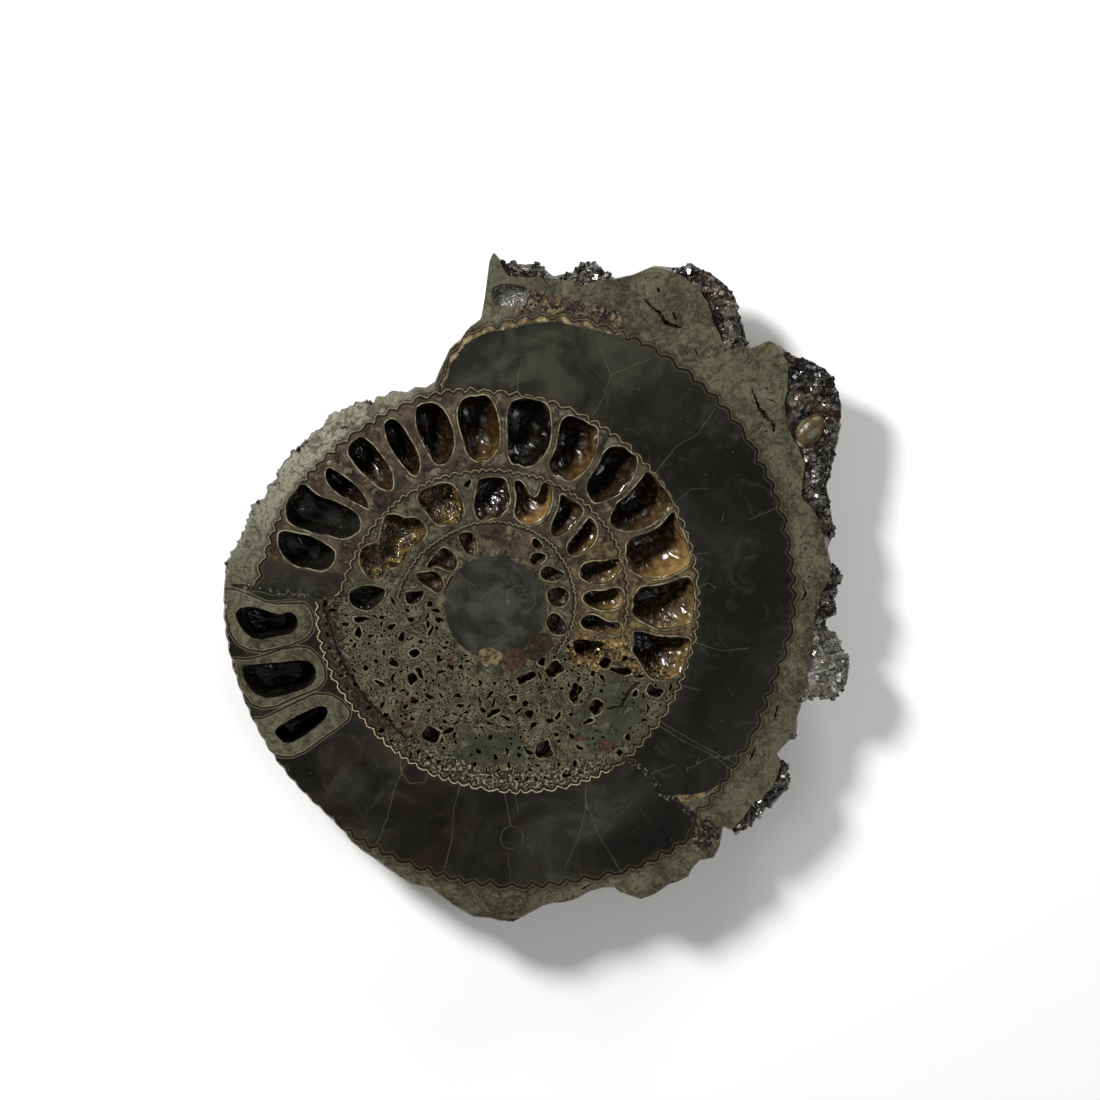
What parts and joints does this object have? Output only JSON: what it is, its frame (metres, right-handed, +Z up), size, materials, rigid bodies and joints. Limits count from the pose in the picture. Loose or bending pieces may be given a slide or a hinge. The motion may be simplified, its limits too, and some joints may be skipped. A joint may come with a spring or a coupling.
{
  "type": "pyritised ammonite fossil half",
  "caption": "Ammonite sawn along its coil and polished: chambers lined with calcite, a pyrite crust round the rim and a ribbed natural back that it lies on.",
  "frame": {"origin": "on the surface the fossil lies on, under the middle of its outline", "axes": "+Z up out of the polished face, +Y towards the top of the picture, +X to its right"},
  "size_m": [0.1704, 0.1812, 0.02],
  "materials": {
    "pyrite_and_mudstone": "polished olive pyrite round dark mudstone, low gloss",
    "brown_calcite": "glossy brown to golden crystals",
    "cream_calcite": "cream and amber crystal, satin"
  },
  "bodies": {
    "root": {"fossil": "pyrite_and_mudstone", "chamber_lining_01": "brown_calcite", "chamber_lining_02": "brown_calcite", "chamber_lining_03": "brown_calcite", "chamber_lining_04": "brown_calcite", "chamber_lining_05": "brown_calcite", "chamber_lining_06": "brown_calcite", "chamber_lining_07": "brown_calcite", "chamber_lining_08": "brown_calcite", "chamber_lining_09": "brown_calcite", "chamber_lining_10": "brown_calcite", "chamber_lining_11": "brown_calcite", "chamber_lining_12": "brown_calcite", "chamber_lining_13": "brown_calcite", "chamber_lining_14": "brown_calcite", "chamber_lining_15": "brown_calcite", "chamber_lining_16": "brown_calcite", "chamber_lining_17": "brown_calcite", "chamber_lining_18": "brown_calcite", "chamber_lining_19": "brown_calcite", "chamber_lining_20": "brown_calcite", "calcite_grain": "cream_calcite"}
  },
  "joints": []
}
